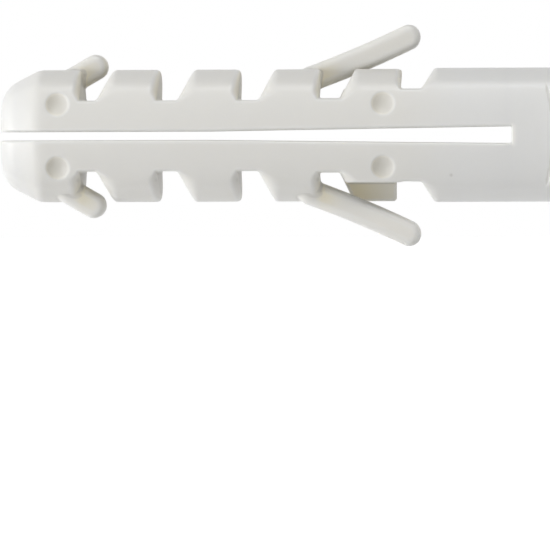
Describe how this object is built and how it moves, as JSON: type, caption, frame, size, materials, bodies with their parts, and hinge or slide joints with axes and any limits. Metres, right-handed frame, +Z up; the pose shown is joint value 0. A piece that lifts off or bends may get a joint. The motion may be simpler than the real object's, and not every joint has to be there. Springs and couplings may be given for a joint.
{
  "type": "wall anchor",
  "caption": "Slotted white nylon wall anchor: a round collar, toothed legs that a screw spreads, and springy barbs that stop it turning in its drilled hole.",
  "frame": {"origin": "centre of the collar's mouth face, on the plug's axis, in the plane of the wall's surface", "axes": "+X along the plug's axis, out of the hole; +Z up, square to the slit; +Y along the slit's faces, away from the viewer of the picture"},
  "size_m": [0.04, 0.008, 0.0132],
  "materials": {
    "collar_nylon": "satin moulded white nylon",
    "leg_nylon": "satin moulded white nylon",
    "barb_nylon": "satin moulded white nylon, a little creamier where it is thin"
  },
  "bodies": {
    "collar": {"collar": "collar_nylon"},
    "upper_leg": {"upper_leg": "leg_nylon"},
    "lower_leg": {"lower_leg": "leg_nylon"},
    "upper_long_barb": {"upper_long_barb": "barb_nylon"},
    "lower_long_barb": {"lower_long_barb": "barb_nylon"},
    "upper_short_barb": {"upper_short_barb": "barb_nylon"},
    "lower_short_barb": {"lower_short_barb": "barb_nylon"}
  },
  "joints": [
    {"name": "upper_leg_spread", "type": "hinge", "parent": "collar", "child": "upper_leg", "pos_m": [-0.00955, 0, 0.00295], "axis": [0, 1, 0], "range_deg": [-0.35, 5], "stiffness_Nm_per_rad": 3},
    {"name": "lower_leg_spread", "type": "hinge", "parent": "collar", "child": "lower_leg", "pos_m": [-0.00955, 0, -0.00295], "axis": [0, -1, 0], "range_deg": [-0.35, 5], "stiffness_Nm_per_rad": 3},
    {"name": "upper_long_barb_flex", "type": "hinge", "parent": "upper_leg", "child": "upper_long_barb", "pos_m": [-0.0211, 0.00105, 0.00355], "axis": [0, -1, 0], "range_deg": [-20, 6], "stiffness_Nm_per_rad": 0.28},
    {"name": "lower_long_barb_flex", "type": "hinge", "parent": "lower_leg", "child": "lower_long_barb", "pos_m": [-0.0211, -0.00105, -0.00355], "axis": [0, 1, 0], "range_deg": [-20, 6], "stiffness_Nm_per_rad": 0.28},
    {"name": "upper_short_barb_flex", "type": "hinge", "parent": "upper_leg", "child": "upper_short_barb", "pos_m": [-0.03547, 0.00105, 0.00355], "axis": [0, -1, 0], "range_deg": [-26, 6], "stiffness_Nm_per_rad": 0.95},
    {"name": "lower_short_barb_flex", "type": "hinge", "parent": "lower_leg", "child": "lower_short_barb", "pos_m": [-0.03547, -0.00105, -0.00355], "axis": [0, 1, 0], "range_deg": [-26, 6], "stiffness_Nm_per_rad": 0.95}
  ]
}
